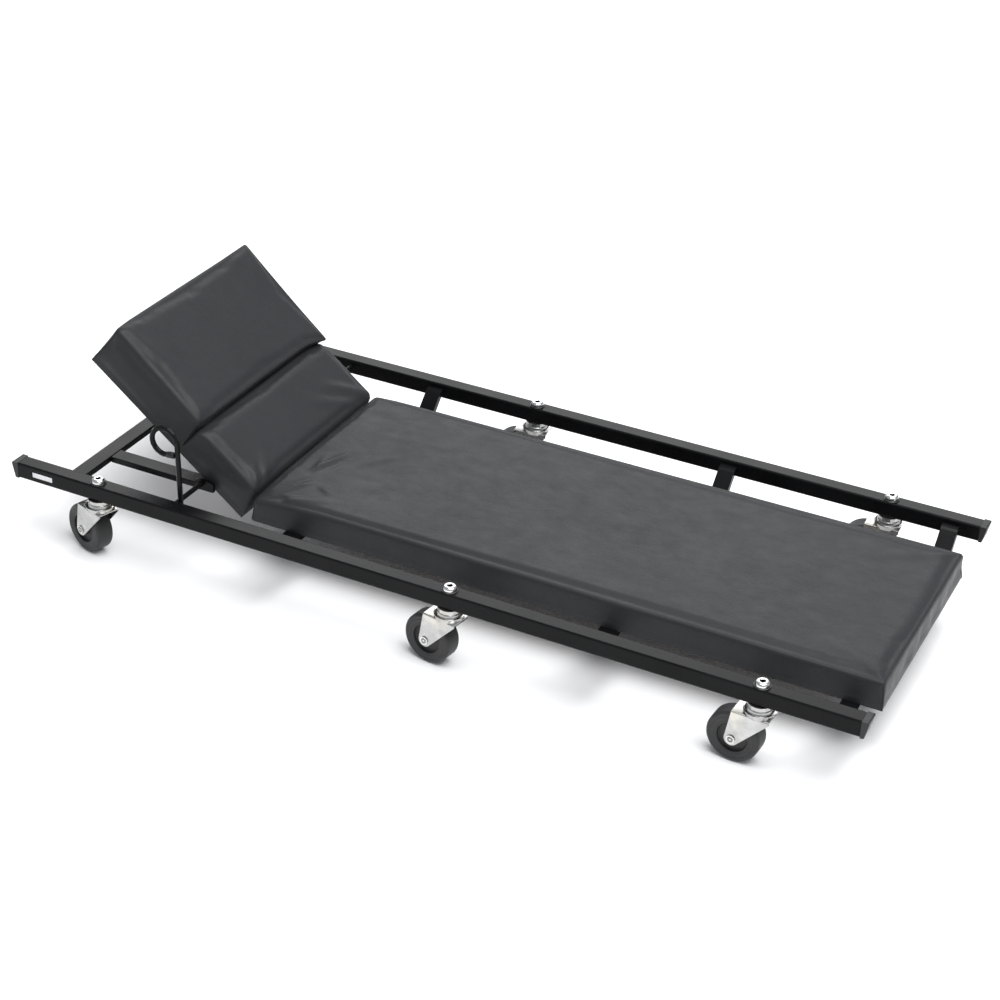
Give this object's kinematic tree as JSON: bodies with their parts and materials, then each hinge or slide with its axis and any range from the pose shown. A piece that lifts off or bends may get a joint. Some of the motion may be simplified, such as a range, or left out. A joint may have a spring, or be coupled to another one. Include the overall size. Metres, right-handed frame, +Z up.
{
  "type": "mechanics creeper",
  "caption": "Low padded bed slung between two square-tube rails on swivel casters, with a tilting padded headrest and a hooked hand lever at its head end.",
  "frame": {"origin": "on the floor, under the middle of the frame", "axes": "+X from the head end to the foot end, +Y across from the near rail to the far rail, +Z up"},
  "size_m": [1.0152, 0.4444, 0.2483],
  "materials": {
    "black_steel": "gloss black powder coat",
    "wire": "gloss black",
    "zinc": "bright zinc plate",
    "bright_zinc": "bright",
    "black_plastic": "satin",
    "wheel": "matt, with fine turned rings",
    "vinyl": "soft vinyl with a fine grain",
    "foam": "foam, inside the covers",
    "board": "bare fibreboard"
  },
  "bodies": {
    "frame": {"near_rail": "black_steel", "far_rail": "black_steel", "near_head_end_cap": "black_plastic", "near_foot_end_cap": "black_plastic", "far_head_end_cap": "black_plastic", "far_foot_end_cap": "black_plastic", "head_cross_bar": "black_steel", "near_inner_bar": "black_steel", "far_inner_bar": "black_steel", "near_pivot_lug": "black_steel", "far_pivot_lug": "black_steel", "head_drop_bar": "black_steel", "middle_drop_bar": "black_steel", "foot_drop_bar": "black_steel", "bed_board": "board", "bed_cover": "vinyl", "bed_foam": "foam", "caster_bolt_1": "bright_zinc", "caster_spacer_1": "black_plastic", "bearing_cup_1": "zinc", "caster_bolt_2": "bright_zinc", "caster_spacer_2": "black_plastic", "bearing_cup_2": "zinc", "caster_bolt_3": "bright_zinc", "caster_spacer_3": "black_plastic", "bearing_cup_3": "zinc", "caster_bolt_4": "bright_zinc", "caster_spacer_4": "black_plastic", "bearing_cup_4": "zinc", "caster_bolt_5": "bright_zinc", "caster_spacer_5": "black_plastic", "bearing_cup_5": "zinc", "caster_bolt_6": "bright_zinc", "caster_spacer_6": "black_plastic", "bearing_cup_6": "zinc"},
    "headrest": {"headrest_board": "board", "headrest_cover": "vinyl", "headrest_foam": "foam", "near_rod_clip": "zinc", "far_rod_clip": "zinc", "tilt_lever": "wire"},
    "fork_1": {"caster_fork_1": "zinc", "wheel_axle_1": "bright_zinc"},
    "wheel_body_1": {"wheel_1": "wheel"},
    "fork_2": {"caster_fork_2": "zinc", "wheel_axle_2": "bright_zinc"},
    "wheel_body_2": {"wheel_2": "wheel"},
    "fork_3": {"caster_fork_3": "zinc", "wheel_axle_3": "bright_zinc"},
    "wheel_body_3": {"wheel_3": "wheel"},
    "fork_4": {"caster_fork_4": "zinc", "wheel_axle_4": "bright_zinc"},
    "wheel_body_4": {"wheel_4": "wheel"},
    "fork_5": {"caster_fork_5": "zinc", "wheel_axle_5": "bright_zinc"},
    "wheel_body_5": {"wheel_5": "wheel"},
    "fork_6": {"caster_fork_6": "zinc", "wheel_axle_6": "bright_zinc"},
    "wheel_body_6": {"wheel_6": "wheel"}
  },
  "joints": [
    {"name": "headrest_tilt", "type": "hinge", "parent": "frame", "child": "headrest", "pos_m": [-0.303, 0, 0.0863], "axis": [0, 1, 0], "range_deg": [-37.8, 0]},
    {"name": "swivel_1", "type": "hinge", "parent": "frame", "child": "fork_1", "pos_m": [-0.395, -0.2045, 0.0626], "axis": [0, 0, 1], "continuous": true},
    {"name": "wheel_spin_1", "type": "hinge", "parent": "fork_1", "child": "wheel_body_1", "pos_m": [-0.41592, -0.1977, 0.029], "axis": [-0.309, -0.9511, 0], "continuous": true},
    {"name": "swivel_2", "type": "hinge", "parent": "frame", "child": "fork_2", "pos_m": [0.049, -0.2045, 0.0626], "axis": [0, 0, 1], "continuous": true},
    {"name": "wheel_spin_2", "type": "hinge", "parent": "fork_2", "child": "wheel_body_2", "pos_m": [0.02727, -0.20106, 0.029], "axis": [-0.1564, -0.9877, 0], "continuous": true},
    {"name": "swivel_3", "type": "hinge", "parent": "frame", "child": "fork_3", "pos_m": [0.395, -0.2045, 0.0626], "axis": [0, 0, 1], "continuous": true},
    {"name": "wheel_spin_3", "type": "hinge", "parent": "fork_3", "child": "wheel_body_3", "pos_m": [0.37303, -0.20335, 0.029], "axis": [-0.0523, -0.9986, 0], "continuous": true},
    {"name": "swivel_4", "type": "hinge", "parent": "frame", "child": "fork_4", "pos_m": [-0.395, 0.2045, 0.0626], "axis": [0, 0, 1], "continuous": true},
    {"name": "wheel_spin_4", "type": "hinge", "parent": "fork_4", "child": "wheel_body_4", "pos_m": [-0.41592, 0.1977, 0.029], "axis": [0.309, -0.9511, 0], "continuous": true},
    {"name": "swivel_5", "type": "hinge", "parent": "frame", "child": "fork_5", "pos_m": [-0.049, 0.2045, 0.0626], "axis": [0, 0, 1], "continuous": true},
    {"name": "wheel_spin_5", "type": "hinge", "parent": "fork_5", "child": "wheel_body_5", "pos_m": [-0.07073, 0.20106, 0.029], "axis": [0.1564, -0.9877, 0], "continuous": true},
    {"name": "swivel_6", "type": "hinge", "parent": "frame", "child": "fork_6", "pos_m": [0.395, 0.2045, 0.0626], "axis": [0, 0, 1], "continuous": true},
    {"name": "wheel_spin_6", "type": "hinge", "parent": "fork_6", "child": "wheel_body_6", "pos_m": [0.37303, 0.20335, 0.029], "axis": [0.0523, -0.9986, 0], "continuous": true}
  ]
}
